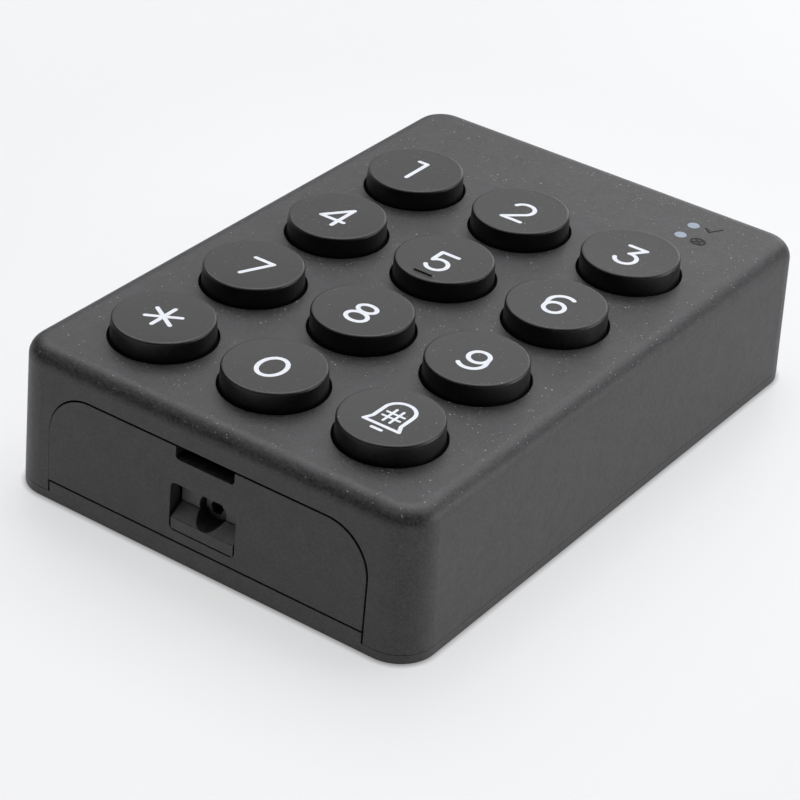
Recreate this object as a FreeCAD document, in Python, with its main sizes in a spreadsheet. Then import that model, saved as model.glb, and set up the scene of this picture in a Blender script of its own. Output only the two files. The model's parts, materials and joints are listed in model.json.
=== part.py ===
import FreeCAD, Part
import os, math
from FreeCAD import Vector, Placement, Rotation

# Alarm keypad: a shallow moulded box that hangs on a wall plate.  It is laid on
# its back: +Z is the front face, +X runs along a row of keys, +Y runs up the key
# columns to the status lights.  Origin: centre of the back face, on the wall.

doc = FreeCAD.newDocument("alarm_keypad")

# ---------------------------------------------------------------- dimensions
P = doc.addObject("Spreadsheet::Sheet", "P")
DIM = dict(
    width=61.0, length=89.6, corner=5.0, top_z=20.3, taper=1.8, soft_edge=2.3,
    wall=2.0, roof=2.0, plate_thk=1.2, seam=0.05,
    arch_half=24.0, arch_top=16.08, arch_rad=6.2, gap_left=0.04, gap_right=0.27, gap_top=0.28, gap_low=0.22,
    pitch_x=17.0, pitch_y=17.5, row_zero=-31.7, led_x=17.0, led_low=33.9, led_high=37.3, pipe_rad=0.82,
    key_top=22.95, key_rad=6.45, key_foot=6.62, key_hole=6.9, key_round=0.35,
    key_flange=7.3, flange_top=18.2, flange_low=17.45, stem_rad=2.4, stem_low=16.9,
    legend_deep=0.9,
    mat_low=14.9, mat_sheet=0.5, dome_low=4.2, dome_high=2.6,
    board_low=13.9, board_thk=1.0,
    floor_low=3.0, floor_thk=1.4,
    boss_x=24.6, boss_y=38.7, boss_rad=2.2,
    bay_half=23.7, bay_low=6.6, bay_high=28.6, bay_wall=1.2, bay_roof=12.7,
    cell_rad=5.25, cell_z=7.15, cell_ya=12.1, cell_yb=23.1,
    win_half=4.95, win_low=4.2, win_high=10.8, win_rad=0.8,
    notch_half=4.4, notch_low=14.15,
    tongue_half=4.7, tongue_front=-42.6, tongue_thk=1.2, tongue_top=11.5,
    nose_y=-44.66, nose_low=4.35, nose_flat=5.9, nose_top=7.3,
    bore_z=7.85, bore_rad=2.0, screw_head=1.7, screw_front=-41.75,
    sill_top=2.65, plunger_x=20.0, plunger_y=-8.0,
    mount_x=19.0, mount_y=30.0, mount_rad=2.1,
)
for n, (key, val) in enumerate(DIM.items(), 1):
    P.set("A%d" % n, key)
    P.set("B%d" % n, str(val))
    P.setAlias("B%d" % n, key)
doc.recompute()
D = {k: float(P.get(k)) for k in DIM}


# ------------------------------------------------------------------- helpers
def ex(v):
    return v if isinstance(v, str) else repr(float(v))


def place(o, x, y, z, axis=None, angle=0):
    if axis is not None:
        o.Placement = Placement(Vector(0, 0, 0), Rotation(Vector(*axis), angle))
    o.setExpression("Placement.Base.x", ex(x))
    o.setExpression("Placement.Base.y", ex(y))
    o.setExpression("Placement.Base.z", ex(z))


def box(name, x0, x1, y0, y1, z0, z1):
    o = doc.addObject("Part::Box", name)
    o.setExpression("Length", "(%s)-(%s)" % (ex(x1), ex(x0)))
    o.setExpression("Width", "(%s)-(%s)" % (ex(y1), ex(y0)))
    o.setExpression("Height", "(%s)-(%s)" % (ex(z1), ex(z0)))
    place(o, x0, y0, z0)
    return o


def cyl(name, x, y, z0, z1, r):
    o = doc.addObject("Part::Cylinder", name)
    o.setExpression("Radius", ex(r))
    o.setExpression("Height", "(%s)-(%s)" % (ex(z1), ex(z0)))
    place(o, x, y, z0)
    return o


def cyl_y(name, x, z, y0, y1, r):
    # cylinder whose axis runs along +Y
    o = doc.addObject("Part::Cylinder", name)
    o.setExpression("Radius", ex(r))
    o.setExpression("Height", "(%s)-(%s)" % (ex(y1), ex(y0)))
    place(o, x, y0, z, (1, 0, 0), -90)
    return o


def cyl_x(name, y, z, x0, x1, r):
    o = doc.addObject("Part::Cylinder", name)
    o.setExpression("Radius", ex(r))
    o.setExpression("Height", "(%s)-(%s)" % (ex(x1), ex(x0)))
    place(o, x0, y, z, (0, 1, 0), 90)
    return o


def cone(name, x, y, z0, z1, r0, r1):
    o = doc.addObject("Part::Cone", name)
    o.setExpression("Radius1", ex(r0))
    o.setExpression("Radius2", ex(r1))
    o.setExpression("Height", "(%s)-(%s)" % (ex(z1), ex(z0)))
    place(o, x, y, z0)
    return o


def fuse(name, *objs):
    o = doc.addObject("Part::MultiFuse", name)
    o.Shapes = list(objs)
    o.Refine = True
    return o


def cut(name, a, *tools):
    t = tools[0] if len(tools) == 1 else fuse(name + "_tools", *tools)
    o = doc.addObject("Part::Cut", name)
    o.Base = a
    o.Tool = t
    o.Refine = True
    return o


def group(name, *objs):
    o = doc.addObject("Part::Compound", name)
    o.Links = list(objs)
    return o


def plane_of(body, role):
    for f in body.Origin.OriginFeatures:
        if f.Role == role:
            return f


def sketch(body, name, role, offset=0.0):
    sk = body.newObject("Sketcher::SketchObject", name)
    sk.AttachmentSupport = [(plane_of(body, role), "")]
    sk.MapMode = "FlatFace"
    sk.AttachmentOffset = Placement(Vector(0, 0, 0), Rotation())
    sk.setExpression("AttachmentOffset.Base.z", ex(offset))
    return sk


def rrect(sk, xl, xr, yb, yt, r):
    """Rounded rectangle between the four given lines, every size bound to the sheet."""
    import Sketcher
    C = Sketcher.Constraint

    def num(e):
        return float(eval_sheet(e))
    a, b, c, d, q = num(xl), num(xr), num(yb), num(yt), num(r)
    pts = [((a + q, c), (b - q, c)), ((b, c + q), (b, d - q)), ((b - q, d), (a + q, d)), ((a, d - q), (a, c + q))]
    base = sk.GeometryCount
    for p, s in pts:
        sk.addGeometry(Part.LineSegment(Vector(p[0], p[1], 0), Vector(s[0], s[1], 0)), False)
    ctr = [(b - q, c + q, -90), (b - q, d - q, 0), (a + q, d - q, 90), (a + q, c + q, 180)]
    for x, y, ang in ctr:
        circ = Part.Circle(Vector(x, y, 0), Vector(0, 0, 1), q)
        sk.addGeometry(Part.ArcOfCircle(circ, math.radians(ang), math.radians(ang + 90)), False)
    L = [base + i for i in range(4)]
    A = [base + 4 + i for i in range(4)]
    for i in range(4):
        sk.addConstraint(C("Tangent", L[i], 2, A[i], 1))
        sk.addConstraint(C("Tangent", A[i], 2, L[(i + 1) % 4], 1))
    sk.addConstraint(C("Horizontal", L[0]))
    sk.addConstraint(C("Horizontal", L[2]))
    sk.addConstraint(C("Vertical", L[1]))
    sk.addConstraint(C("Vertical", L[3]))
    for i in (1, 2, 3):
        sk.addConstraint(C("Equal", A[0], A[i]))
    k = sk.addConstraint(C("Radius", A[0], q))
    sk.setExpression("Constraints[%d]" % k, ex(r))
    k = sk.addConstraint(C("DistanceX", -1, 1, L[1], 1, b))
    sk.setExpression("Constraints[%d]" % k, ex(xr))
    k = sk.addConstraint(C("DistanceX", -1, 1, L[3], 1, a))
    sk.setExpression("Constraints[%d]" % k, ex(xl))
    k = sk.addConstraint(C("DistanceY", -1, 1, L[2], 1, d))
    sk.setExpression("Constraints[%d]" % k, ex(yt))
    k = sk.addConstraint(C("DistanceY", -1, 1, L[0], 1, c))
    sk.setExpression("Constraints[%d]" % k, ex(yb))


def eval_sheet(e):
    """Numeric value of an expression of sheet cells, for a sketch's starting sizes."""
    if not isinstance(e, str):
        return e
    probe = doc.getObject("probe")
    if probe is None:
        probe = doc.addObject("App::FeaturePython", "probe")
        probe.addProperty("App::PropertyFloat", "v")
    probe.setExpression("v", e)
    probe.recompute()
    return probe.v


def circle(sk, x, y, r):
    import Sketcher
    C = Sketcher.Constraint
    xv, yv, rv = eval_sheet(x), eval_sheet(y), eval_sheet(r)
    g = sk.addGeometry(Part.Circle(Vector(xv, yv, 0), Vector(0, 0, 1), rv), False)
    k = sk.addConstraint(C("Radius", g, rv))
    sk.setExpression("Constraints[%d]" % k, ex(r))
    k = sk.addConstraint(C("DistanceX", -1, 1, g, 3, xv))
    sk.setExpression("Constraints[%d]" % k, ex(x))
    k = sk.addConstraint(C("DistanceY", -1, 1, g, 3, yv))
    sk.setExpression("Constraints[%d]" % k, ex(y))


def pad(body, sk, length, reverse=False, taper=None):
    f = body.newObject("PartDesign::Pad", sk.Name + "_pad")
    f.Profile = sk
    f.setExpression("Length", ex(length))
    f.Reversed = reverse
    if taper is not None:
        f.setExpression("TaperAngle", ex(taper))
    doc.recompute()
    return f


def pocket(body, sk, length, reverse=False):
    before = body.Shape.Volume
    f = body.newObject("PartDesign::Pocket", sk.Name + "_pocket")
    f.Profile = sk
    f.Type = 0
    f.setExpression("Length", ex(length))
    f.Reversed = reverse
    doc.recompute()
    assert f.Shape.Volume < before - 1e-3, "pocket %s cuts nothing" % sk.Name
    return f


KEYS = [  # name, column, row (row 0 is the bottom row)
    ("star", 0, 0), ("0", 1, 0), ("bell", 2, 0),
    ("7", 0, 1), ("8", 1, 1), ("9", 2, 1),
    ("4", 0, 2), ("5", 1, 2), ("6", 2, 2),
    ("1", 0, 3), ("2", 1, 3), ("3", 2, 3)]


def key_x(c):
    return "P.pitch_x*%d" % (c - 1)


def key_y(r):
    return "P.row_zero+P.pitch_y*%d" % r


BOARD_SCREWS = [("8.5", "P.row_zero+P.pitch_y*0.5"), ("-8.5", "P.row_zero+P.pitch_y*0.5"),
                ("8.5", "P.row_zero+P.pitch_y*1.5"), ("-8.5", "P.row_zero+P.pitch_y*1.5"),
                ("12", "37.5"), ("-12", "37.5")]
CORNERS = [("P.boss_x", "P.boss_y"), ("-P.boss_x", "P.boss_y"), ("P.boss_x", "-P.boss_y"), ("-P.boss_x", "-P.boss_y")]

# ------------------------------------------------------------- front housing
# Five-sided shell: drafted walls, soft top edge, twelve key holes, and a wide
# arch cut out of its lower end wall, open at the back.
hb = doc.addObject("PartDesign::Body", "front_housing")
sk = sketch(hb, "housing_outline", "XY_Plane", "P.plate_thk+P.seam")
rrect(sk, "-P.width/2", "P.width/2", "-P.length/2", "P.length/2", "P.corner")
f = pad(hb, sk, "P.top_z-P.plate_thk-P.seam", taper="-P.taper")
bb = [v for v in f.Shape.Vertexes if abs(v.Point.z - D["top_z"]) < 1e-4]
if max(v.Point.x for v in bb) > D["width"] / 2:
    f.setExpression("TaperAngle", "P.taper")
    doc.recompute()
top_edges = []
for n, e in enumerate(f.Shape.Edges, 1):
    if all(abs(v.Point.z - D["top_z"]) < 1e-4 for v in e.Vertexes):
        top_edges.append("Edge%d" % n)
fl = hb.newObject("PartDesign::Fillet", "soft_edge_fillet")
fl.Base = (f, top_edges)
fl.setExpression("Radius", "P.soft_edge")
doc.recompute()
sk = sketch(hb, "cavity", "XY_Plane", "P.plate_thk+P.seam")
rrect(sk, "-P.width/2+P.wall", "P.width/2-P.wall", "-P.length/2+P.wall", "P.length/2-P.wall", "P.corner-P.wall")
pocket(hb, sk, "P.top_z-P.roof-P.plate_thk-P.seam", reverse=True)
sk = sketch(hb, "arch_opening", "XZ_Plane", 0)
rrect(sk, "-P.arch_half", "P.arch_half", "-12", "P.arch_top", "P.arch_rad")
v0 = hb.Shape.Volume
pocket(hb, sk, "P.length/2+2", reverse=False)
if hb.Shape.isInside(Vector(0, -D["length"] / 2 + 1.0, 8), 1e-4, True):
    hb.Tip.Reversed = True
    doc.recompute()
sk = sketch(hb, "key_holes", "XY_Plane", "P.top_z")
for nm, c, r in KEYS:
    circle(sk, key_x(c), key_y(r), "P.key_hole")
circle(sk, "P.led_x", "P.led_low", "P.pipe_rad+0.03")
circle(sk, "P.led_x", "P.led_high", "P.pipe_rad+0.03")
pocket(hb, sk, "P.roof+0.5")
sk = sketch(hb, "board_bosses", "XY_Plane", "P.mat_low")
for x, y in BOARD_SCREWS:
    circle(sk, x, y, "2.3")
pad(hb, sk, "P.top_z-P.roof-P.mat_low+0.3")
sk = sketch(hb, "case_bosses", "XY_Plane", "5.95")
for x, y in CORNERS:
    circle(sk, x, y, "P.boss_rad")
pad(hb, sk, "P.top_z-P.roof-5.95+0.3")
sk = sketch(hb, "board_pilots", "XY_Plane", "P.mat_low")
for x, y in BOARD_SCREWS:
    circle(sk, x, y, "1.0")
pocket(hb, sk, "3", reverse=True)
sk = sketch(hb, "case_pilots", "XY_Plane", "5.95")
for x, y in CORNERS:
    circle(sk, x, y, "1.1")
pocket(hb, sk, "8", reverse=True)
hb.Label = "front_housing"

# The arch panel of the rear case follows the drafted end wall, so it is cut out
# of a block with the same outline and draft.
ob = doc.addObject("PartDesign::Body", "outline_block")
sk = sketch(ob, "block_outline", "XY_Plane", "P.plate_thk+P.seam")
rrect(sk, "-P.width/2", "P.width/2", "-P.length/2", "P.length/2", "P.corner")
bf = pad(ob, sk, "P.top_z-P.plate_thk-P.seam", taper="-P.taper")
if max(v.Point.x for v in bf.Shape.Vertexes if abs(v.Point.z - D["top_z"]) < 1e-4) > D["width"] / 2:
    bf.setExpression("TaperAngle", "P.taper")
    doc.recompute()
ab = doc.addObject("PartDesign::Body", "arch_block")
sk = sketch(ab, "arch_outline", "XZ_Plane", 0)
rrect(sk, "-P.arch_half+P.gap_left", "P.arch_half-P.gap_right", "-12", "P.arch_top-P.gap_top", "P.arch_rad-P.gap_left*2")
af = pad(ab, sk, "P.length/2+5")
if ab.Shape.BoundBox.YMin > -5:
    af.Reversed = True
    doc.recompute()
arch_raw = doc.addObject("Part::Common", "arch_panel_raw")
arch_raw.Base = ob
arch_raw.Tool = ab
arch_panel = cut("arch_panel_cut", arch_raw,
                 box("above_panel_inner", -40, 40, "-P.length/2+2.4", 60, -20, 40),
                 box("below_panel", -40, 40, -60, 60, -20, "P.sill_top+P.gap_low"))

# ----------------------------------------------------------------- rear case
fb = doc.addObject("PartDesign::Body", "case_floor")
sk = sketch(fb, "floor_outline", "XY_Plane", "P.floor_low")
rrect(sk, "-P.width/2+P.wall+0.2", "P.width/2-P.wall-0.2", "-P.length/2+P.wall+0.2", "P.length/2-P.wall-0.2", "P.corner-P.wall-0.2")
pad(fb, sk, "P.floor_thk")
sk = sketch(fb, "rib_outline", "XY_Plane", "P.floor_low+P.floor_thk")
rrect(sk, "-P.width/2+P.wall+0.2", "P.width/2-P.wall-0.2", "-P.length/2+P.wall+0.2", "P.length/2-P.wall-0.2", "P.corner-P.wall-0.2")
rrect(sk, "-P.width/2+P.wall+1.4", "P.width/2-P.wall-1.4", "-P.length/2+P.wall+1.4", "P.length/2-P.wall-1.4", "P.corner-P.wall-1.4")
pad(fb, sk, "3.6")

case_parts = [fb, arch_panel,
              box("bay_block", "-P.bay_half-P.bay_wall", "P.bay_half+P.bay_wall", "P.bay_low-P.bay_wall", "P.bay_high+P.bay_wall", "P.floor_low", "P.bay_roof+0.7"),
              box("screw_block", -4, 4, "P.tongue_front+P.tongue_thk+1.2", -33.5, "P.floor_low", 11.4),
              cyl("plunger_guide", "P.plunger_x", "P.plunger_y", "P.floor_low", 7.0, 3.0)]
for n, (x, y) in enumerate(CORNERS):
    case_parts.append(cyl("case_post%d" % n, x, y, "P.floor_low", 5.9, 3.2))
solid_case = fuse("case_solid", *case_parts)
wb = doc.addObject("PartDesign::Body", "window_tool")
sk = sketch(wb, "window_outline", "XZ_Plane", 0)
rrect(sk, "-P.win_half", "P.win_half", "P.win_low", "P.win_high", "P.win_rad")
wf = pad(wb, sk, "P.length/2+5")
if wb.Shape.BoundBox.YMin > -5:
    wf.Reversed = True
    doc.recompute()
win_tool = cut("window_cutter", wb, box("window_stop", -20, 20, "P.tongue_front+P.tongue_thk+1.1", 10, -10, 30))
nb = doc.addObject("PartDesign::Body", "release_notch")
sk = sketch(nb, "notch_outline", "XZ_Plane", "-P.length/2+4")
rrect(sk, "-P.notch_half", "P.notch_half", "P.notch_low", 19, 0.55)
nf = pad(nb, sk, 8)
if nb.Shape.BoundBox.YMin > -D["length"] / 2 or nb.Shape.BoundBox.YMax < -D["length"] / 2 + 3:
    sk.setExpression("AttachmentOffset.Base.z", "P.length/2-4")
    doc.recompute()
assert nb.Shape.BoundBox.YMin < -D["length"] / 2 < nb.Shape.BoundBox.YMax - 2.4, nb.Shape.BoundBox
tools = [win_tool,
         box("tongue_slot", -5.2, 5.2, "P.tongue_front-0.2", "P.tongue_front+P.tongue_thk+1.2", -5, 12.2),
         nb,
         box("bay_space", "-P.bay_half", "P.bay_half", "P.bay_low", "P.bay_high", 0, "P.bay_roof"),
         cyl("plunger_bore", "P.plunger_x", "P.plunger_y", 0, 9, 1.58),
         cyl_y("lock_thread", 0, "P.bore_z", -42, -34.2, 1.03),
         cyl_y("lock_counterbore", 0, "P.bore_z", -42, "P.screw_front+2.02", "P.bore_rad"),
         box("hook_slot_a", 11.7, 18.3, 39.4, 40.95, 0, 6),
         box("hook_slot_b", -18.3, -11.7, 39.4, 40.95, 0, 6)]
for n, (x, y) in enumerate(CORNERS):
    tools.append(cyl("case_screw_hole%d" % n, x, y, 0, 8, 1.25))
    tools.append(cyl("case_screw_seat%d" % n, x, y, 0, 4.5, 2.35))
rear = cut("rear_case", solid_case, *tools)

# ---------------------------------------------------------------- wall plate
pb = doc.addObject("PartDesign::Body", "plate_base")
sk = sketch(pb, "plate_outline", "XY_Plane", 0)
rrect(sk, "-P.width/2", "P.width/2", "-P.length/2", "P.length/2", "P.corner")
pad(pb, sk, "P.plate_thk")
sk = sketch(pb, "lip_outline", "XY_Plane", "P.plate_thk")
rrect(sk, "-P.width/2+P.wall+0.2", "P.width/2-P.wall-0.2", "-P.length/2+P.wall+0.2", "P.length/2-P.wall-0.2", "P.corner-P.wall-0.2")
rrect(sk, "-P.width/2+P.wall+1.4", "P.width/2-P.wall-1.4", "-P.length/2+P.wall+1.4", "P.length/2-P.wall-1.4", "P.corner-P.wall-1.4")
pad(pb, sk, "1.4")
# the snap tongue stands behind the panel's lower strip; its nose leans forward
# over that strip and ends flush with the panel, with a lead-in ramp on top
nose = doc.addObject("Part::Wedge", "tongue_nose")
nose.setExpression("Xmin", "-P.tongue_half")
nose.setExpression("Xmax", "P.tongue_half")
nose.setExpression("X2min", "-P.tongue_half")
nose.setExpression("X2max", "P.tongue_half")
nose.Ymin, nose.Zmin, nose.Z2min = 0, 0, 0
nose.setExpression("Ymax", "P.nose_top-P.nose_flat")
nose.setExpression("Zmax", "P.tongue_front+0.1-P.nose_y")
nose.setExpression("Z2max", "0.1")
nose.Placement = Placement(Vector(0, 0, 0), Rotation(Vector(1, 0, 0), 90))
nose.setExpression("Placement.Base.y", "P.tongue_front+0.1")
nose.setExpression("Placement.Base.z", "P.nose_flat")
plate_parts = [pb, nose,
               box("end_sill", "-P.arch_half+0.25", "P.arch_half-0.25", "-P.length/2", "-P.length/2+1.9", "P.plate_thk-0.2", "P.sill_top"),
               box("nose_block", "-P.tongue_half", "P.tongue_half", "P.nose_y", "P.tongue_front+0.1", "P.nose_low", "P.nose_flat"),
               box("tongue_web", "-P.tongue_half", "P.tongue_half", "P.tongue_front", "P.tongue_front+P.tongue_thk", "P.plate_thk-0.2", "P.tongue_top"),
               cyl("plunger_pad", "P.plunger_x", "P.plunger_y", "P.plate_thk-0.2", 1.8, 2.5)]
for n, x in enumerate((15, -15)):
    plate_parts.append(box("hook_stem%d" % n, x - 3, x + 3, 39.6, 40.75, "P.plate_thk-0.2", 5.4))
    plate_parts.append(box("hook_lip%d" % n, x - 3, x + 3, 40.7, 41.3, 4.5, 5.4))
plate_solid = fuse("plate_solid", *plate_parts)
ptools = [cyl_y("tongue_bore", 0, "P.bore_z", -50, -41, "P.bore_rad"),
          box("tongue_crease", -6, 6, "P.tongue_front-0.02", "P.tongue_front+0.12", "P.nose_top-0.1", "P.nose_top+0.05")]
for n, (sx, sy) in enumerate(((1, 1), (1, -1), (-1, 1), (-1, -1))):
    ptools.append(cyl("mount_hole%d" % n, "%d*P.mount_x" % sx, "%d*P.mount_y" % sy, -1, 3, "P.mount_rad"))
    ptools.append(cone("mount_sink%d" % n, "%d*P.mount_x" % sx, "%d*P.mount_y" % sy, 0.4, "P.plate_thk+0.001", "P.mount_rad", 3.6))
plate = cut("wall_plate", plate_solid, *ptools)


# ------------------------------------------------------------ legend strokes
def stroke(p, q, w):
    """Straight stroke with round ends, half-width w."""
    p, q = Vector(p[0], p[1], 0), Vector(q[0], q[1], 0)
    d = (q - p).normalize()
    n = Vector(-d.y, d.x, 0) * w
    a, b, c, e = p + n, q + n, q - n, p - n
    w1 = Part.Wire([Part.LineSegment(a, b).toShape(), Part.Arc(b, q + d * w, c).toShape(),
                    Part.LineSegment(c, e).toShape(), Part.Arc(e, p - d * w, a).toShape()])
    return Part.Face(w1)


def bow(c, r, a0, a1, w):
    """Arc stroke with round ends from angle a0 to a1 (degrees, a1 > a0)."""
    def at(rad, a):
        a = math.radians(a)
        return Vector(c[0] + rad * math.cos(a), c[1] + rad * math.sin(a), 0)

    def tip(a, sgn):
        m = at(r, a)
        a = math.radians(a)
        return m + Vector(-math.sin(a), math.cos(a), 0) * (sgn * w)
    mid = (a0 + a1) / 2.0
    w1 = Part.Wire([Part.Arc(at(r + w, a0), at(r + w, mid), at(r + w, a1)).toShape(),
                    Part.Arc(at(r + w, a1), tip(a1, 1), at(r - w, a1)).toShape(),
                    Part.Arc(at(r - w, a1), at(r - w, mid), at(r - w, a0)).toShape(),
                    Part.Arc(at(r - w, a0), tip(a0, -1), at(r + w, a0)).toShape()])
    return Part.Face(w1)


def loop(c, a, b, w):
    """Closed oval stroke."""
    def oval(rx, ry):
        if abs(rx - ry) < 1e-6:
            return Part.Wire([Part.Circle(Vector(c[0], c[1], 0), Vector(0, 0, 1), rx).toShape()])
        if rx > ry:
            el = Part.Ellipse(Vector(c[0], c[1], 0), rx, ry)
        else:
            el = Part.Ellipse(Vector(c[0], c[1] + ry, 0), Vector(c[0] - rx, c[1], 0), Vector(c[0], c[1], 0))
        return Part.Wire([el.toShape()])
    return Part.Face(oval(a + w, b + w)).cut(Part.Face(oval(a - w, b - w)))


W = 0.30
GLYPHS = {
    "1": [stroke((-0.95, 2.3), (0.3, 2.3), W), stroke((0.3, 2.3), (0.3, -2.6), W)],
    "2": [bow((0.2, 0.3), 1.5, -42, 160, W), stroke((1.31, -0.70), (-1.1, -2.9), W), stroke((-1.1, -2.9), (1.75, -2.9), W)],
    "3": [stroke((-1.0, 1.55), (1.5, 1.55), W), stroke((1.5, 1.55), (0.1, -0.38), W), bow((0.3, -1.8), 1.42, -160, 100, W)],
    "4": [stroke((0.95, 2.4), (-1.75, -1.2), W), stroke((-1.75, -1.2), (1.8, -1.2), W), stroke((0.95, 2.4), (0.95, -2.6), W)],
    "5": [stroke((-1.05, 1.1), (1.4, 1.1), W), stroke((-1.05, 1.1), (-1.05, -0.95), W), bow((0.2, -2.05), 1.42, -150, 145, W)],
    "6": [loop((0.3, -1.15), 1.32, 1.32, W), bow((0.45, 0.35), 1.75, 58, 205, W), stroke((-1.14, -0.39), (-1.0, -1.15), W)],
    "7": [stroke((-0.85, 1.5), (2.0, 1.5), W), stroke((2.0, 1.5), (0.0, -2.8), W)],
    "8": [loop((0.35, 0.48), 1.27, 0.93, W), loop((0.35, -1.8), 1.44, 1.12, W)],
    "9": [loop((0.15, 0.2), 1.32, 1.32, W), bow((0.0, -1.05), 1.75, -135, 25, W), stroke((1.59, -0.31), (1.45, 0.3), W)],
    "0": [loop((0.0, -0.5), 1.68, 2.18, W)],
    "star": [stroke((2.25 * math.cos(math.radians(a)), -0.05 + 2.25 * math.sin(math.radians(a))),
                    (-2.25 * math.cos(math.radians(a)), -0.05 - 2.25 * math.sin(math.radians(a))), 0.29) for a in (90, 31, 149)],
    "bell": [bow((0.2, 1.25), 1.98, 0, 180, 0.25), stroke((-1.78, 1.25), (-1.78, -1.15), 0.25), stroke((2.18, 1.25), (2.18, -1.15), 0.25),
             stroke((-1.78, -1.15), (-2.3, -2.3), 0.25), stroke((2.18, -1.15), (2.7, -2.3), 0.25), stroke((-2.3, -2.3), (2.7, -2.3), 0.25),
             stroke((-0.45, -3.25), (0.85, -3.25), 0.24),
             stroke((-0.28, 1.55), (-0.28, -1.3), 0.18), stroke((0.68, 1.55), (0.68, -1.3), 0.18),
             stroke((-1.0, 0.6), (1.4, 0.6), 0.18), stroke((-1.0, -0.35), (1.4, -0.35), 0.18)],
}


def glyph_solid(name, depth):
    out = None
    for fc in GLYPHS[name]:
        s = fc.extrude(Vector(0, 0, depth))
        out = s if out is None else out.fuse(s)
    return out.removeSplitter()


# --------------------------------------------------------------------- keys
NODES = []
for nm, c, r in KEYS:
    kx, ky = key_x(c), key_y(r)
    lg = doc.addObject("Part::Feature", "legend_" + nm)
    lg.Shape = glyph_solid(nm, D["legend_deep"])
    lg.Placement = Placement(Vector(0, 0, 0), Rotation())
    place(lg, kx, ky, "P.key_top-P.legend_deep")
    lg.Label = "legend_" + nm
    body = cone("key_barrel_" + nm, kx, ky, "P.flange_top-0.1", "P.key_top", "P.key_foot", "P.key_rad")
    doc.recompute()
    edge = [n for n, e in enumerate(body.Shape.Edges, 1)
            if len(e.Vertexes) == 1 and abs(e.Vertexes[0].Point.z - D["key_top"]) < 1e-4 and e.Length > 5][0]
    rb = doc.addObject("Part::Fillet", "key_round_" + nm)
    rb.Base = body
    rb.Edges = [(edge, D["key_round"], D["key_round"])]
    pieces = [rb, cyl("key_flange_" + nm, kx, ky, "P.flange_low", "P.flange_top", "P.key_flange"),
              cyl("key_stem_" + nm, kx, ky, "P.stem_low", "P.flange_low+0.1", "P.stem_rad")]
    if nm == "5":
        pieces.append(box("homing_bar", "(" + kx + ")-1.3", "(" + kx + ")+1.4", "(" + ky + ")-5.0", "(" + ky + ")-4.65", "P.key_top-0.2", "P.key_top+0.18"))
    kc = cut("keycap_" + nm, fuse("key_solid_" + nm, *pieces), lg)
    kc.Label = "keycap_" + nm
    NODES += [kc, lg]

# --------------------------------------------------- keypad mat and the board
mb = doc.addObject("PartDesign::Body", "mat_sheet_body")
sk = sketch(mb, "mat_outline", "XY_Plane", "P.mat_low")
rrect(sk, -25.8, 25.8, -39.8, 28.8, 2)
pad(mb, sk, "P.mat_sheet")
mat_add, mat_cut = [mb], []
for nm, c, r in KEYS:
    mat_add.append(cone("dome_" + nm, key_x(c), key_y(r), "P.mat_low+0.1", "P.stem_low", "P.dome_low", "P.dome_high"))
    mat_cut.append(cone("dome_space_" + nm, key_x(c), key_y(r), "P.mat_low-0.01", "P.stem_low-0.45", "P.dome_low-0.5", "P.dome_high-0.5"))
    mat_cut.append(cyl("light_hole_" + nm, key_x(c), "(" + key_y(r) + ")+5.5", "P.mat_low-1", "P.mat_low+2", 0.95))
for n, (x, y) in enumerate(BOARD_SCREWS[:4]):
    mat_cut.append(cyl("mat_boss_hole%d" % n, x, y, "P.mat_low-1", "P.mat_low+2", 2.7))
for n, (x, y) in enumerate(CORNERS):
    mat_cut.append(cyl("mat_corner%d" % n, x, y, "P.mat_low-1", "P.mat_low+2", 2.8))
mat = cut("silicone_mat", fuse("mat_solid", *mat_add), *mat_cut)

bd = doc.addObject("PartDesign::Body", "board_body")
sk = sketch(bd, "board_outline", "XY_Plane", "P.board_low")
rrect(sk, -27.2, 27.2, -41, 41, 2)
pad(bd, sk, "P.board_thk")
bcuts = []
for n, (x, y) in enumerate(CORNERS):
    bcuts.append(cyl("board_corner%d" % n, x, y, 10, 20, 3.0))
for n, (x, y) in enumerate(BOARD_SCREWS):
    bcuts.append(cyl("board_hole%d" % n, x, y, 10, 20, 1.1))
board = cut("circuit_board", bd, *bcuts)

back_leds = group("backlight_leds", *[box("back_led_" + nm, "(" + key_x(c) + ")-0.6", "(" + key_x(c) + ")+0.6", "(" + key_y(r) + ")+5.1", "(" + key_y(r) + ")+5.9",
                                           "P.mat_low", "P.mat_low+0.45") for nm, c, r in KEYS])
stat_leds = group("status_leds", box("stat_led_a", "P.led_x-0.8", "P.led_x+0.8", "P.led_low-0.4", "P.led_low+0.4", "P.mat_low", "P.mat_low+0.6"),
                  box("stat_led_b", "P.led_x-0.8", "P.led_x+0.8", "P.led_high-0.4", "P.led_high+0.4", "P.mat_low", "P.mat_low+0.6"))
pipes = group("status_light_pipes", *[fuse("pipe%d" % n, cyl("pipe_rod%d" % n, "P.led_x", y, "P.mat_low+0.7", "P.top_z", "P.pipe_rad"),
                                            cyl("pipe_collar%d" % n, "P.led_x", y, 17.5, 18.25, 1.35)) for n, y in enumerate(("P.led_low", "P.led_high"))])
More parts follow.
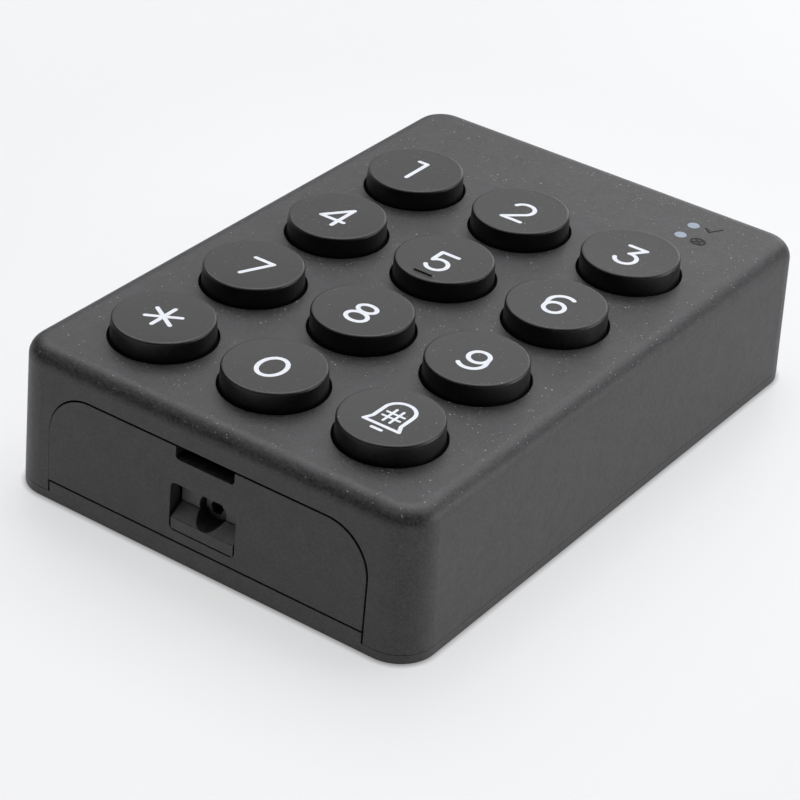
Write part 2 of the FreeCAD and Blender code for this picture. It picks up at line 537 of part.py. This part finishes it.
# two small printed marks beside the lights: a tick, and a barred oval
ic = doc.addObject("Part::Feature", "status_icons")
tick = stroke((18.75, 37.65), (19.6, 37.05), 0.17).extrude(Vector(0, 0, 0.04)).fuse(stroke((19.6, 37.05), (20.6, 38.8), 0.09).extrude(Vector(0, 0, 0.04))).removeSplitter()
oval = loop((19.75, 33.75), 0.97, 0.78, 0.14).extrude(Vector(0, 0, 0.04)).fuse(stroke((19.05, 33.2), (20.45, 34.3), 0.12).extrude(Vector(0, 0, 0.04)))
oval = oval.fuse(stroke((19.05, 34.3), (20.45, 33.2), 0.12).extrude(Vector(0, 0, 0.04))).removeSplitter()
ic.Shape = Part.Compound([s for q in (tick, oval) for s in q.Solids])
place(ic, 0, 0, "P.top_z")

bscrews = []
for n, (x, y) in enumerate(BOARD_SCREWS):
    s = fuse("board_screw_solid%d" % n, cyl("board_screw_head%d" % n, x, y, "P.board_low-1.2", "P.board_low", 1.9),
             cyl("board_screw_shank%d" % n, x, y, "P.board_low-0.1", "P.board_low+3.6", 0.93))
    bscrews.append(cut("board_screw%d" % n, s, box("bs_slot_a%d" % n, "(" + x + ")-1.2", "(" + x + ")+1.2", "(" + y + ")-0.25", "(" + y + ")+0.25", "P.board_low-2", "P.board_low-0.6"),
                       box("bs_slot_b%d" % n, "(" + x + ")-0.25", "(" + x + ")+0.25", "(" + y + ")-1.2", "(" + y + ")+1.2", "P.board_low-2", "P.board_low-0.6")))
board_screws = group("board_screws", *bscrews)
cscrews = []
for n, (x, y) in enumerate(CORNERS):
    s = fuse("case_screw_solid%d" % n, cyl("case_screw_head%d" % n, x, y, 3.1, 4.48, 2.1),
             cyl("case_screw_shank%d" % n, x, y, 4.4, 12.5, 1.05))
    cscrews.append(cut("case_screw%d" % n, s, box("cs_slot_a%d" % n, "(" + x + ")-1.3", "(" + x + ")+1.3", "(" + y + ")-0.3", "(" + y + ")+0.3", 2, 3.8),
                       box("cs_slot_b%d" % n, "(" + x + ")-0.3", "(" + x + ")+0.3", "(" + y + ")-1.3", "(" + y + ")+1.3", 2, 3.8)))
case_screws = group("case_screws", *cscrews)

buzzer = cut("sounder", cyl("sounder_can", 14, -30, "P.board_low-4", "P.board_low", 6.0), cyl("sounder_port", 14, -30, "P.board_low-5", "P.board_low-3.2", 1.1))
radio = fuse("radio_module", box("radio_board", -22.5, -10.5, -35.5, -25.5, "P.board_low-0.8", "P.board_low"),
             box("radio_can", -21.8, -13.0, -34.8, -26.2, "P.board_low-2.4", "P.board_low-0.7"))
chip = box("processor_chip", -3.5, 3.5, -17.5, -10.5, "P.board_low-1.0", "P.board_low")
tswitch = box("tamper_switch", "P.plunger_x-3", "P.plunger_x+3", "P.plunger_y-3", "P.plunger_y+3", "P.board_low-3", "P.board_low")
plunger = fuse("tamper_plunger", cyl("plunger_rod", "P.plunger_x", "P.plunger_y", 1.83, 8.5, 1.5), cyl("plunger_collar", "P.plunger_x", "P.plunger_y", 8.0, 8.6, 2.5),
               cyl("plunger_pin", "P.plunger_x", "P.plunger_y", 8.5, 10.2, 0.9))
spring_turns = []
for n in range(4):
    t = doc.addObject("Part::Torus", "spring_turn%d" % n)
    t.Radius1, t.Radius2 = 1.6, 0.2
    place(t, "P.plunger_x", "P.plunger_y", 8.85 + 0.61 * n)
    spring_turns.append(t)
spring = group("tamper_spring", *spring_turns)

# two cells lie across the case, side by side, head to tail
cells = group("battery_cells",
              fuse("cell_a", cyl_x("cell_a_can", "P.cell_ya", "P.cell_z", -22.3, 21.2, "P.cell_rad"), cyl_x("cell_a_nub", "P.cell_ya", "P.cell_z", 21.0, 22.2, 1.9)),
              fuse("cell_b", cyl_x("cell_b_can", "P.cell_yb", "P.cell_z", -21.2, 22.3, "P.cell_rad"), cyl_x("cell_b_nub", "P.cell_yb", "P.cell_z", -22.2, -21.0, 1.9)))


def contact(name, y, sx, gap):
    lo, hi = (23.2, 23.6) if sx > 0 else (-23.6, -23.2)
    leaf = box(name + "_leaf", lo, hi, "(" + y + ")-4", "(" + y + ")+4", 3.6, 10.8)
    bump = cyl_x(name + "_bump", y, "P.cell_z", gap if sx > 0 else -23.3, 23.3 if sx > 0 else -gap, 1.6)
    return fuse(name, leaf, bump)


contacts = group("battery_contacts", contact("contact_a_plus", "P.cell_ya", 1, 22.22), contact("contact_a_minus", "P.cell_ya", -1, 22.32),
                 contact("contact_b_plus", "P.cell_yb", -1, 22.22), contact("contact_b_minus", "P.cell_yb", 1, 22.32))

# hex-socket lock screw, sunk behind the tongue so that the tongue can't bend back
hexa = doc.addObject("Part::Prism", "lock_socket")
hexa.Polygon = 6
hexa.Circumradius = 1.0
hexa.Height = 2.2
place(hexa, 0, "P.screw_front-1.0", "P.bore_z", (1, 0, 0), -90)
lock = cut("security_screw", fuse("lock_solid", cyl_y("lock_head", 0, "P.bore_z", "P.screw_front", "P.screw_front+2.0", "P.screw_head"),
                                  cyl_y("lock_shank", 0, "P.bore_z", "P.screw_front+1.9", -34.9, 1.0)), hexa)

for o, lab in ((rear, "rear_case"), (plate, "wall_plate"), (mat, "silicone_mat"), (board, "circuit_board"), (back_leds, "backlight_leds"),
               (stat_leds, "status_leds"), (pipes, "status_light_pipes"), (ic, "status_icons"), (board_screws, "board_screws"),
               (case_screws, "case_screws"), (buzzer, "sounder"), (radio, "radio_module"), (chip, "processor_chip"), (tswitch, "tamper_switch"),
               (plunger, "tamper_plunger"), (spring, "tamper_spring"), (cells, "battery_cells"), (contacts, "battery_contacts"), (lock, "security_screw")):
    o.Label = lab
    NODES.append(o)
NODES.insert(0, hb)

doc.recompute()
bad = [o.Name for o in doc.Objects if "Invalid" in o.State or "Error" in o.State]
assert not bad, "failed objects: %s" % bad
os.makedirs("parts", exist_ok=True)
names = set()
for o in NODES:
    sh = o.Shape
    assert not sh.isNull() and sh.isValid(), "bad shape in " + o.Label
    assert sh.Solids, "no solid in " + o.Label
    assert o.Label not in names
    names.add(o.Label)
    sh.exportStep("parts/%s.step" % o.Label)
    b = sh.BoundBox
    print("%-20s solids %2d  vol %9.2f  X %.2f..%.2f  Y %.2f..%.2f  Z %.2f..%.2f" % (o.Label, len(sh.Solids), sh.Volume, b.XMin, b.XMax, b.YMin, b.YMax, b.ZMin, b.ZMax))
print(len(names), "nodes")
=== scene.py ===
import bpy
import json
import math
import random
from mathutils import Matrix, Vector


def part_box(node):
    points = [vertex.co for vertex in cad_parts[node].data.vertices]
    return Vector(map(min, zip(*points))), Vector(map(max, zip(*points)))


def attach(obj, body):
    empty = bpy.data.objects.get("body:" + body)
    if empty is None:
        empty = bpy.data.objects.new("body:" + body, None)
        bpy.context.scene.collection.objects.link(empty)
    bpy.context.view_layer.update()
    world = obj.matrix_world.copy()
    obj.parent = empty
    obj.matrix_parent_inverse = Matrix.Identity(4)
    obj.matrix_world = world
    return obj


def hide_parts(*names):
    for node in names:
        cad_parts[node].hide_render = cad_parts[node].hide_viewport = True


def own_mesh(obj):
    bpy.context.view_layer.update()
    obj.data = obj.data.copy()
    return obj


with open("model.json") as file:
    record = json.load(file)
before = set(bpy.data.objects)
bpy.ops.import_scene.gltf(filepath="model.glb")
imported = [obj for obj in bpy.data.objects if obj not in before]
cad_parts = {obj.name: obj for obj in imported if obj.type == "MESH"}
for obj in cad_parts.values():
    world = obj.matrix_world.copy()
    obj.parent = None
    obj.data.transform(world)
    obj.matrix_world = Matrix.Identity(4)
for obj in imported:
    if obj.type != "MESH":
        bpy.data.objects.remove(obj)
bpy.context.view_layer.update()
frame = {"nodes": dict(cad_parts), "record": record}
nodes = frame["nodes"]
scene = bpy.context.scene
scene.view_settings.view_transform = "Standard"
scene.view_settings.look = "None"
scene.view_settings.exposure = 0.0
scene.view_settings.gamma = 1.0


# ------------------------------------------------------------------ materials
class Mat:
    """A small node-building helper round one Principled material."""

    def __init__(self, name):
        self.m = bpy.data.materials.new(name)
        self.m.use_nodes = True
        self.nt = self.m.node_tree
        self.nt.nodes.clear()
        self.out = self.nt.nodes.new("ShaderNodeOutputMaterial")
        self.b = self.nt.nodes.new("ShaderNodeBsdfPrincipled")
        self.nt.links.new(self.b.outputs[0], self.out.inputs[0])
        self.tc = self.nt.nodes.new("ShaderNodeTexCoord")
        self.pos = self.tc.outputs["Object"]

    def node(self, kind, **kw):
        n = self.nt.nodes.new(kind)
        for k, v in kw.items():
            if k.startswith("_"):
                setattr(n, k[1:], v)
            else:
                n.inputs[k.replace("__", " ")].default_value = v
        return n

    def link(self, a, b):
        self.nt.links.new(a, b)

    def noise(self, scale, detail=2.0, rough=0.5, vec=None):
        n = self.node("ShaderNodeTexNoise", Scale=scale, Detail=detail, Roughness=rough)
        self.link(vec or self.pos, n.inputs["Vector"])
        return n.outputs["Fac"]

    def voronoi(self, scale, feature="F1", out="Distance", vec=None, randomness=1.0):
        n = self.node("ShaderNodeTexVoronoi", Scale=scale, Randomness=randomness)
        n.feature = feature
        self.link(vec or self.pos, n.inputs["Vector"])
        return n.outputs[out]

    def ramp(self, fac, stops, interp="LINEAR"):
        n = self.nt.nodes.new("ShaderNodeValToRGB")
        n.color_ramp.interpolation = interp
        el = n.color_ramp.elements
        while len(el) < len(stops):
            el.new(0.5)
        for e, (p, c) in zip(el, stops):
            e.position = p
            e.color = (c, c, c, 1) if isinstance(c, (int, float)) else (*c, 1)
        self.link(fac, n.inputs[0])
        return n.outputs[0]

    def maprange(self, fac, a, b, c, d):
        n = self.nt.nodes.new("ShaderNodeMapRange")
        for i, v in zip((1, 2, 3, 4), (a, b, c, d)):
            n.inputs[i].default_value = v
        self.link(fac, n.inputs[0])
        return n.outputs[0]

    def math(self, op, a, b=None, clamp=False):
        n = self.nt.nodes.new("ShaderNodeMath")
        n.operation = op
        n.use_clamp = clamp
        for i, v in enumerate((a, b)):
            if v is None:
                continue
            if isinstance(v, (int, float)):
                n.inputs[i].default_value = v
            else:
                self.link(v, n.inputs[i])
        return n.outputs[0]

    def mix(self, fac, a, b):
        n = self.nt.nodes.new("ShaderNodeMix")
        n.data_type = "RGBA"
        for sock, v in ((n.inputs[0], fac), (n.inputs[6], a), (n.inputs[7], b)):
            if isinstance(v, (int, float)):
                sock.default_value = v
            elif isinstance(v, tuple):
                sock.default_value = (*v, 1)
            else:
                self.link(v, sock)
        return n.outputs[2]

    def bump(self, height, distance, strength=1.0, prev=None):
        n = self.node("ShaderNodeBump", Strength=strength, Distance=distance)
        self.link(height, n.inputs["Height"])
        if prev is not None:
            self.link(prev, n.inputs["Normal"])
        return n.outputs[0]

    def base(self, v):
        self.set("Base Color", v)

    def set(self, name, v):
        s = self.b.inputs[name]
        if isinstance(v, (int, float)):
            s.default_value = v
        elif isinstance(v, tuple):
            s.default_value = (*v, 1) if len(v) == 3 and len(s.default_value) == 4 else v
        else:
            self.link(v, s)


def spark_plastic(name, dark, light, rough=0.5, grain=4800, depth=3.2e-5, spec=0.5, dust=0.0, rough_var=0.08, edge=0.00012, dome=None, recess_fill_light=False):
    """Moulded plastic with a spark-eroded grain, softened edges and stray dust; optionally a painted fill light
    that lightens the window recess.
    """
    m = Mat(name)
    grain_n = m.noise(grain, 2.0, 0.55)
    cell = m.voronoi(grain * 0.8, "SMOOTH_F1")
    mott = m.noise(420, 3.0, 0.6)
    fine = m.noise(1500, 2.0, 0.5)
    tone = m.math("ADD", m.math("MULTIPLY", mott, 0.22), m.math("MULTIPLY", grain_n, 0.78))
    col = m.ramp(tone, [(0.38, dark), (0.62, light)])
    if dust > 0:
        geo = m.nt.nodes.new("ShaderNodeNewGeometry")
        sep = m.nt.nodes.new("ShaderNodeSeparateXYZ")
        m.link(geo.outputs["True Normal"], sep.inputs[0])
        up = m.maprange(sep.outputs[2], 0.3, 0.8, 0.12, 1.0)
        spots = None
        for scale, size, patch, cut_at in ((520, 0.060, 210, 0.50), (1400, 0.105, 330, 0.49)):
            d = m.voronoi(scale, "F1")
            keep = m.noise(patch, 1.0, 0.5)
            one = m.math("MULTIPLY", m.math("LESS_THAN", d, size), m.math("GREATER_THAN", keep, cut_at))
            spots = one if spots is None else m.math("MAXIMUM", spots, one)
        fac = m.math("MULTIPLY", m.math("MULTIPLY", spots, up), dust)
        col = m.mix(fac, col, (0.50, 0.50, 0.52))
    if recess_fill_light:
        # painted fill light: the lead-in ramp and the web behind the window, apart from the screw bore, are
        # lightened evenly with a mottled pale grey to stand in for light that does not reach into the recess
        sp = m.nt.nodes.new("ShaderNodeSeparateXYZ")
        m.link(m.pos, sp.inputs[0])
        deep = m.math("GREATER_THAN", sp.outputs[1], -0.04458)
        tall = m.math("GREATER_THAN", sp.outputs[2], 0.0057)
        near = m.math("LESS_THAN", sp.outputs[1], -0.0424)
        bx = m.math("MULTIPLY", sp.outputs[0], sp.outputs[0])
        bz = m.math("SUBTRACT", sp.outputs[2], 0.00785)
        clear = m.math("GREATER_THAN", m.math("ADD", bx, m.math("MULTIPLY", bz, bz)), 0.00206 ** 2)
        where = m.math("MULTIPLY", m.math("MULTIPLY", m.math("MULTIPLY", deep, tall), near), clear)
        painted_fill = m.math("MULTIPLY", where, m.maprange(mott, 0.3, 0.7, 0.07, 0.11))
        col = m.mix(painted_fill, col, (0.62, 0.62, 0.64))
    m.base(col)
    r = m.maprange(m.math("ADD", m.math("MULTIPLY", fine, 0.4), m.math("MULTIPLY", grain_n, 0.6)), 0.30, 0.70, rough - rough_var, rough + rough_var)
    m.set("Roughness", r)
    m.set("Specular IOR Level", spec)
    soft = m.nt.nodes.new("ShaderNodeBevel")
    soft.samples = 4
    soft.inputs["Radius"].default_value = edge
    prev = soft.outputs[0]
    if dome is not None:
        # each key top is very slightly dished about its own centre
        px, py, y0, radius = dome
        sep = m.nt.nodes.new("ShaderNodeSeparateXYZ")
        m.link(m.pos, sep.inputs[0])
        dx = m.math("SUBTRACT", sep.outputs[0], m.math("SNAP", m.math("ADD", sep.outputs[0], px / 2), px))
        yy = m.math("SUBTRACT", sep.outputs[1], y0)
        dy = m.math("SUBTRACT", yy, m.math("SNAP", m.math("ADD", yy, py / 2), py))
        rr = m.math("ADD", m.math("MULTIPLY", dx, dx), m.math("MULTIPLY", dy, dy))
        prev = m.bump(m.math("MULTIPLY", rr, -500.0 / radius), 0.001, 1.0, prev)
    h = m.math("ADD", m.math("MULTIPLY", grain_n, 0.6), m.math("MULTIPLY", cell, 0.5))
    b1 = m.bump(h, depth, 0.9, prev)
    m.link(b1, m.b.inputs["Normal"])
    return m.m


M = {}
M["housing_charcoal"] = spark_plastic("housing_charcoal", (0.0100, 0.0098, 0.0106), (0.0400, 0.0392, 0.0417), rough=0.48, grain=3000, spec=0.56, dust=0.60)
M["case_charcoal"] = spark_plastic("case_charcoal", (0.0100, 0.0098, 0.0106), (0.0400, 0.0392, 0.0417), rough=0.48, grain=3000, spec=0.56)
# the wall plate carries the painted fill light in its window recess
M["plate_charcoal"] = spark_plastic("plate_charcoal", (0.0100, 0.0098, 0.0106), (0.0400, 0.0392, 0.0417), rough=0.48, grain=3000, spec=0.56, recess_fill_light=True)
M["key_black"] = spark_plastic("key_black", (0.0012, 0.0012, 0.0013), (0.0062, 0.0062, 0.0066), rough=0.38, grain=4200, depth=1.2e-5, dust=0.28,
                               spec=0.55, dome=(0.017, 0.0175, -0.0317, -0.20), edge=0.00008)


def legend():
    m = Mat("legend_white")
    n = m.noise(2500, 3, 0.6)
    m.base(m.ramp(n, [(0.3, (0.74, 0.77, 0.82)), (0.7, (0.83, 0.855, 0.90))]))
    m.set("Roughness", m.maprange(m.noise(4000), 0.2, 0.8, 0.30, 0.45))
    m.set("Subsurface Weight", 0.0)
    m.link(m.bump(n, 6e-6, 0.5), m.b.inputs["Normal"])
    return m.m


M["legend_white"] = legend()


def silicone():
    m = Mat("silicone_grey")
    n = m.noise(1400, 4, 0.6)
    m.base(m.ramp(n, [(0.3, (0.40, 0.41, 0.42)), (0.7, (0.50, 0.51, 0.52))]))
    m.set("Roughness", m.maprange(m.noise(5000), 0.2, 0.8, 0.5, 0.7))
    m.link(m.bump(n, 2e-5, 0.4), m.b.inputs["Normal"])
    return m.m


M["silicone_grey"] = silicone()


def board():
    """Solder-resist green with copper tracks under it and gold-coloured vias."""
    m = Mat("board_green")
    sep = m.node("ShaderNodeSeparateXYZ")
    m.link(m.pos, sep.inputs[0])
    wob = m.noise(150, 1, 0.5)
    tx = m.math("ADD", m.math("MULTIPLY", sep.outputs[0], 900), m.math("MULTIPLY", m.math("SNAP", wob, 0.12), 9))
    ty = m.math("MULTIPLY", sep.outputs[1], 900)
    fx = m.math("LESS_THAN", m.math("ABSOLUTE", m.math("SUBTRACT", m.math("FRACT", tx), 0.5)), 0.17)
    fy = m.math("LESS_THAN", m.math("ABSOLUTE", m.math("SUBTRACT", m.math("FRACT", ty), 0.5)), 0.17)
    zone = m.math("GREATER_THAN", m.voronoi(110, "F1", "Color"), 0.45)
    trk = m.mix(zone, fx, fy)
    zone2 = m.math("GREATER_THAN", m.noise(75, 1, 0.5), 0.5)
    on = m.math("MULTIPLY", trk, zone2)
    col = m.mix(on, (0.012, 0.085, 0.032), (0.03, 0.16, 0.055))
    via = m.math("LESS_THAN", m.voronoi(240, "F1"), 0.085)
    col = m.mix(via, col, (0.55, 0.42, 0.16))
    m.base(col)
    m.set("Roughness", m.maprange(m.noise(700, 2), 0.3, 0.7, 0.22, 0.36))
    m.link(m.bump(on, 2.5e-5, 0.6), m.b.inputs["Normal"])
    return m.m


M["board_green"] = board()


def metal(name, col, rough=0.3, brushed=True, spread=0.08):
    m = Mat(name)
    if brushed:
        mp = m.node("ShaderNodeMapping")
        mp.inputs["Scale"].default_value = (300, 9000, 9000)
        m.link(m.pos, mp.inputs[0])
        n = m.noise(1.0, 3, 0.6, mp.outputs[0])
    else:
        n = m.noise(3500, 3, 0.6)
    lo = tuple(c * 0.82 for c in col)
    m.base(m.ramp(n, [(0.3, lo), (0.7, col)]))
    m.set("Metallic", 1.0)
    m.set("Roughness", m.maprange(n, 0.2, 0.8, rough - spread, rough + spread))
    m.link(m.bump(n, 4e-6, 0.5), m.b.inputs["Normal"])
    return m.m


M["zinc_steel"] = metal("zinc_steel", (0.62, 0.62, 0.64), 0.32)
M["shield_can"] = metal("shield_can", (0.66, 0.66, 0.66), 0.36)
M["spring_steel"] = metal("spring_steel", (0.48, 0.48, 0.50), 0.28)
M["contact_nickel"] = metal("contact_nickel", (0.72, 0.71, 0.68), 0.24, brushed=False)
M["lock_steel"] = metal("lock_steel", (0.13, 0.13, 0.138), 0.44, brushed=False)


def simple(name, lo, hi, rough, scale=2600, spec=0.5, trans=0.0, depth=8e-6, ior=1.5):
    m = Mat(name)
    n = m.noise(scale, 3, 0.55)
    m.base(m.ramp(n, [(0.3, lo), (0.7, hi)]))
    m.set("Roughness", m.maprange(m.noise(scale * 0.4, 2), 0.25, 0.75, max(rough - 0.06, 0.03), rough + 0.06))
    m.set("Specular IOR Level", spec)
    m.set("IOR", ior)
    m.set("Transmission Weight", trans)
    m.link(m.bump(n, depth, 0.6), m.b.inputs["Normal"])
    return m.m


M["led_white"] = simple("led_white", (0.70, 0.66, 0.45), (0.86, 0.83, 0.66), 0.3)
M["light_pipe"] = simple("light_pipe", (0.27, 0.315, 0.395), (0.33, 0.38, 0.475), 0.34)
M["mark_black"] = simple("mark_black", (0.004, 0.004, 0.0042), (0.008, 0.008, 0.0083), 0.60, spec=0.26)
M["sounder_black"] = simple("sounder_black", (0.008, 0.008, 0.009), (0.016, 0.016, 0.017), 0.42)
M["chip_black"] = simple("chip_black", (0.012, 0.012, 0.012), (0.022, 0.022, 0.022), 0.5, scale=6000)
M["plunger_white"] = simple("plunger_white", (0.62, 0.62, 0.60), (0.74, 0.74, 0.71), 0.38)


def cell():
    """Plain printed sleeve: dark blue with a pale band near one end, steel ends."""
    m = Mat("cell_jacket")
    sep = m.node("ShaderNodeSeparateXYZ")
    m.link(m.pos, sep.inputs[0])
    x = m.math("ABSOLUTE", sep.outputs[0])
    band = m.math("MULTIPLY", m.math("GREATER_THAN", x, 0.0145), m.math("LESS_THAN", x, 0.0185))
    ends = m.math("GREATER_THAN", x, 0.0208)
    n = m.noise(1200, 3, 0.5)
    body = m.ramp(n, [(0.3, (0.018, 0.030, 0.075)), (0.7, (0.024, 0.040, 0.095))])
    col = m.mix(band, body, (0.62, 0.60, 0.52))
    col = m.mix(ends, col, (0.62, 0.62, 0.62))
    m.base(col)
    m.set("Metallic", ends)
    m.set("Roughness", m.maprange(m.noise(800, 2), 0.3, 0.7, 0.24, 0.36))
    m.link(m.bump(n, 5e-6, 0.5), m.b.inputs["Normal"])
    return m.m


M["cell_jacket"] = cell()

slot_of = {s["node"]: s["material_slot"] for s in frame["record"]["subparts"]}
for name, ob in nodes.items():
    mat = M[slot_of[name]]
    if not ob.material_slots:
        ob.data.materials.append(mat)
    for s in ob.material_slots:
        s.material = mat

# ------------------------------------------------------------ rubber key mat
# The sheet and the twelve domes are separate closed pieces, cut from the CAD mat just above the sheet.
import bmesh

mat_ob = nodes["silicone_mat"]
CUT_Z, TOP_Z, TRAVEL = 0.01545, 0.0169, 0.0009


def mat_half(above):
    bm = bmesh.new()
    bm.from_mesh(mat_ob.data)
    bmesh.ops.remove_doubles(bm, verts=bm.verts[:], dist=2e-7)
    geom = bm.verts[:] + bm.edges[:] + bm.faces[:]
    bmesh.ops.bisect_plane(bm, geom=geom, dist=1e-8, plane_co=(0, 0, CUT_Z), plane_no=(0, 0, 1),
                           clear_inner=above, clear_outer=not above)
    bmesh.ops.remove_doubles(bm, verts=bm.verts[:], dist=2e-7)
    rim = [e for e in bm.edges if e.is_boundary and all(abs(v.co.z - CUT_Z) < 1e-6 for v in e.verts)]
    bmesh.ops.triangle_fill(bm, use_beauty=True, use_dissolve=False, edges=rim, normal=(0, 0, -1 if above else 1))
    bmesh.ops.recalc_face_normals(bm, faces=bm.faces[:])
    return bm


def mesh_of(bm, name):
    me = bpy.data.meshes.new(name)
    bm.to_mesh(me)
    me.materials.append(M["silicone_grey"])
    o = bpy.data.objects.new(name, me)
    scene.collection.objects.link(o)
    return o


low = mat_half(False)
sheet_ob = mesh_of(low, "key_mat_sheet")
low.free()
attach(sheet_ob, "root")
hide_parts("silicone_mat")
centre = {}
for k in ("star", "0", "bell", "7", "8", "9", "4", "5", "6", "1", "2", "3"):
    a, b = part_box("keycap_" + k)
    centre[k] = ((a[0] + b[0]) / 2, (a[1] + b[1]) / 2)
for k, (cx, cy) in centre.items():
    top = mat_half(True)
    away = [v for v in top.verts if (v.co.x - cx) ** 2 + (v.co.y - cy) ** 2 > 0.006 ** 2]
    bmesh.ops.delete(top, geom=away, context="VERTS")
    dome_ob = mesh_of(top, "key_dome_" + k)
    top.free()
    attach(dome_ob, "root")
    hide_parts("silicone_mat")
    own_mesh(dome_ob)

# --------------------------------------------------------------------- stage
KEYTOP = 0.02295


def plane(name, size, loc, mat, rot=(0, 0, 0)):
    me = bpy.data.meshes.new(name)
    s = size / 2
    me.from_pydata([(-s, -s, 0), (s, -s, 0), (s, s, 0), (-s, s, 0)], [], [(0, 1, 2, 3)])
    me.materials.append(mat)
    o = bpy.data.objects.new(name, me)
    o.location = loc
    o.rotation_euler = rot
    scene.collection.objects.link(o)
    return o


fm = Mat("studio_floor")
fn = fm.noise(3.0, 3, 0.5)
fm.base(fm.ramp(fn, [(0.35, (0.27, 0.272, 0.277)), (0.65, (0.29, 0.29, 0.293))]))
# the sheet is lit from below as well; painted shade: its glow is halved in the last millimetre beside the object
# as a painted contact shadow, and painted slightly brighter near the object and dimmer farther out
fs = fm.nt.nodes.new("ShaderNodeSeparateXYZ")
fm.link(fm.pos, fs.inputs[0])
gx = fm.math("MAXIMUM", fm.math("SUBTRACT", fm.math("ABSOLUTE", fs.outputs[0]), 0.0255), 0.0)
gy = fm.math("MAXIMUM", fm.math("SUBTRACT", fm.math("ABSOLUTE", fs.outputs[1]), 0.0398), 0.0)
gap = fm.math("SUBTRACT", fm.math("SQRT", fm.math("ADD", fm.math("MULTIPLY", gx, gx), fm.math("MULTIPLY", gy, gy))), 0.005)
# painted contact shadow: glow cut to half at the object's edge, full within 0.7 mm
near = fm.maprange(gap, 0.0, 0.0007, 0.50, 1.0)
# painted light: glow a little brighter near the object and dimmer far out
painted_glow_falloff = fm.maprange(gap, 0.012, 0.060, 1.03, 0.96)
glow_with_painted_shade = fm.math("MULTIPLY", near, painted_glow_falloff)
fm.set("Emission Color", fm.mix(glow_with_painted_shade, (0.0, 0.0, 0.0), (0.985, 0.99, 1.0)))
fm.set("Emission Strength", 0.60)
fm.set("Roughness", 0.45)
fm.set("Specular IOR Level", 0.2)
floor = plane("floor", 12.0, (0, 0, -0.0002), fm.m)


def softbox(name, elevation, azimuth, size, power, dist=1.5):
    """Square soft light aimed at the object; azimuth runs from +Y towards +X."""
    e, a = math.radians(elevation), math.radians(azimuth)
    d = Vector((math.cos(e) * math.sin(a), math.cos(e) * math.cos(a), math.sin(e)))
    li = bpy.data.lights.new(name, "AREA")
    li.size = size
    li.energy = power
    li.color = (0.985, 0.985, 1.0)
    o = bpy.data.objects.new(name, li)
    o.location = d * dist
    o.rotation_euler = (-d).to_track_quat("-Z", "Y").to_euler()
    scene.collection.objects.link(o)
    return o


# overhead bank, a pale backdrop bank behind, and nothing near the camera
softbox("overhead", 88, 0, 1.1, 3.7)
softbox("high_back_left", 58, -60, 1.05, 8.0)
softbox("high_back", 58, 0, 1.05, 8.0)
softbox("high_back_right", 58, 60, 1.05, 3.9)
softbox("high_front_left", 58, -150, 1.05, 3.2)
softbox("backdrop_left", 28, -50, 1.05, 2.2)
softbox("backdrop_mid", 28, -10, 1.05, 2.3)
softbox("backdrop_right", 28, 35, 1.05, 2.6)
softbox("low_back", 6, -15, 0.75, 3.1)
softbox("low_right", 6, 60, 0.75, 7.5)

w = bpy.data.worlds.new("studio")
scene.world = w
w.use_nodes = True
w.node_tree.nodes["Background"].inputs[0].default_value = (0.93, 0.94, 0.96, 1)
w.node_tree.nodes["Background"].inputs[1].default_value = 0.004

# -------------------------------------------------------------------- camera
cam_data = bpy.data.cameras.new("camera")
cam = bpy.data.objects.new("camera", cam_data)
scene.collection.objects.link(cam)
C = Vector((165.253, -248.416 - 5.45, 170.742 + 19.85)) / 1000.0
right = Vector((0.8096941, 0.5834612, 0.0629958))
down = Vector((0.3517891, -0.3966470, -0.8478890))
fwd = Vector((-0.4697232, 0.7086919, -0.5264180))
rot = Matrix(((right.x, -down.x, -fwd.x), (right.y, -down.y, -fwd.y), (right.z, -down.z, -fwd.z)))
cam.matrix_world = Matrix.Translation(C) @ rot.to_4x4()
cam_data.sensor_width = 36.0
cam_data.lens = 2744.58 * 36.0 / 800.0
cam_data.clip_start = 0.01
cam_data.clip_end = 50.0
scene.camera = cam
